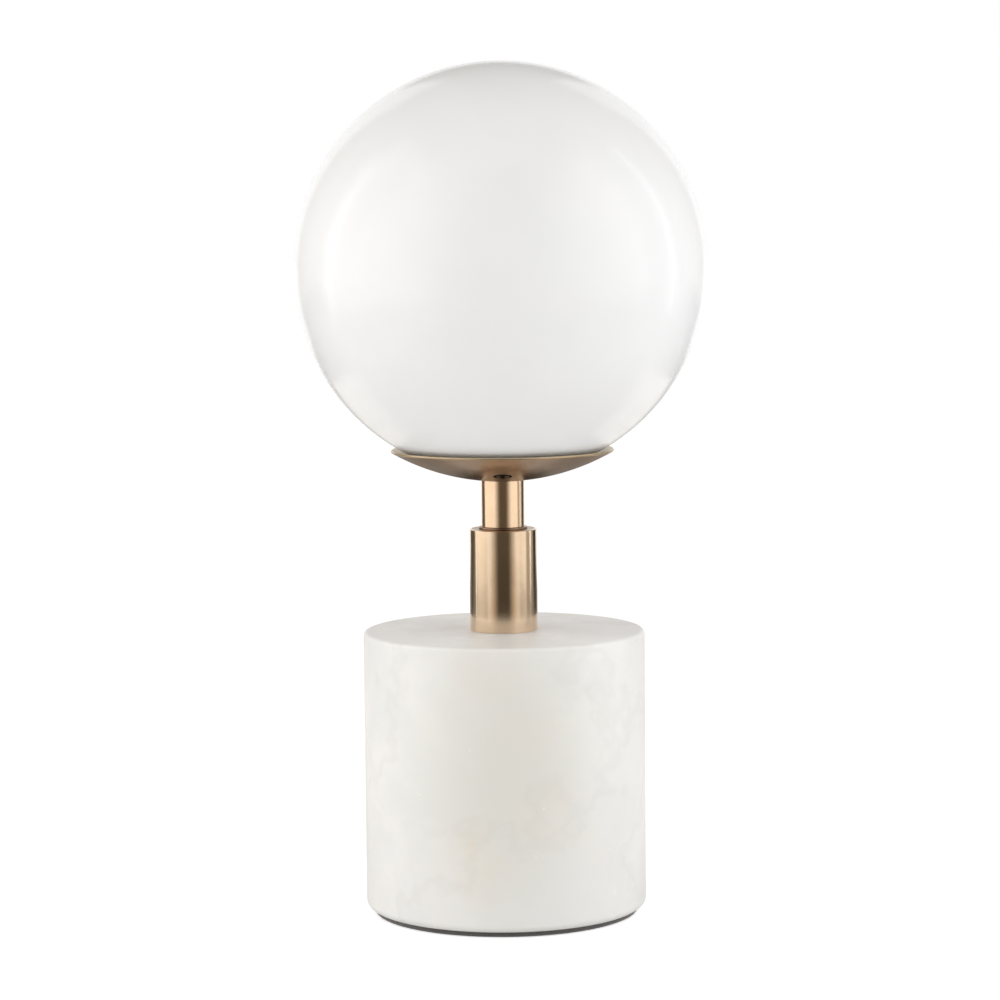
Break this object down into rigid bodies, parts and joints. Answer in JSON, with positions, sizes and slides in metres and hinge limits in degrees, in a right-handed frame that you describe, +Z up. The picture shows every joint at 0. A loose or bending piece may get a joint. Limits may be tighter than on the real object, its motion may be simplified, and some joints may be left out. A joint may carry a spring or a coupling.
{
  "type": "globe table lamp",
  "caption": "Table lamp with an opal glass globe in a shallow brass dish, on a stepped brass stem and a white marble cylinder foot.",
  "frame": {"origin": "on the ground under the middle of the foot", "axes": "+Z up along the stem, -Y the front of the lamp, +Y the side where the cord enters the foot"},
  "size_m": [0.2, 0.2, 0.4129],
  "materials": {
    "pad": "matt grey foam rubber",
    "marble": "honed white marble with faint warm veins",
    "steel": "zinc-plated steel",
    "brass": "satin antique brass",
    "thread_brass": "plain brass",
    "nickel": "nickel-plated brass",
    "opal": "opal white glass, glossy",
    "silicone": "translucent white silicone",
    "black_plastic": "black phenolic plastic",
    "white_plastic": "white plastic",
    "diffuser": "frosted white plastic",
    "porcelain": "unglazed porcelain",
    "black_glass": "black insulating glass",
    "aluminium": "white-coated aluminium board",
    "circuit_board": "green circuit board",
    "lead_brown": "brown lead insulation",
    "lead_blue": "blue lead insulation"
  },
  "bodies": {
    "stand": {"base_pad": "pad", "marble_base": "marble", "bottom_plate": "steel", "plate_screws": "steel", "plate_anchors": "white_plastic", "cord_grommet": "black_plastic", "terminal_block": "white_plastic", "block_screws": "thread_brass", "threaded_rod": "steel", "rod_nuts": "steel", "clamp_washer": "steel", "lock_washer": "steel", "dish_washer": "steel", "sleeve_locator": "steel", "stem_sleeve": "brass", "sleeve_cap": "brass", "tube_seat": "brass", "neck_tube": "brass", "tube_bush": "steel", "shade_dish": "brass", "globe_gasket": "silicone", "clip_spider": "steel", "socket_cap": "black_plastic", "socket_core": "porcelain", "socket_body": "black_plastic", "screw_shell": "thread_brass", "centre_contact": "thread_brass", "socket_screws": "thread_brass", "lead_live": "lead_brown", "lead_neutral": "lead_blue"},
    "globe": {"globe_shade": "opal"},
    "bulb_tip": {"bulb_contact": "nickel"},
    "bulb": {"bulb_insulator": "black_glass", "bulb_cap": "nickel", "bulb_housing": "white_plastic", "bulb_board": "aluminium", "bulb_driver": "circuit_board", "bulb_diffuser": "diffuser"}
  },
  "joints": [
    {"name": "globe_lift", "type": "slide", "parent": "stand", "child": "globe", "axis": [0, 0, 1], "range_m": [0, 0.155]},
    {"name": "bulb_rise", "type": "slide", "parent": "stand", "child": "bulb_tip", "axis": [0, 0, 1], "range_m": [0, 0.01816]},
    {"name": "bulb_turn", "type": "hinge", "parent": "bulb_tip", "child": "bulb", "pos_m": [0, 0, 0.2486], "axis": [0, 0, 1], "range_deg": [0, 1800]}
  ],
  "couplings": [
    {"joint": "bulb_rise", "follows": "bulb_turn", "m_per_rad": 0.00057757}
  ]
}
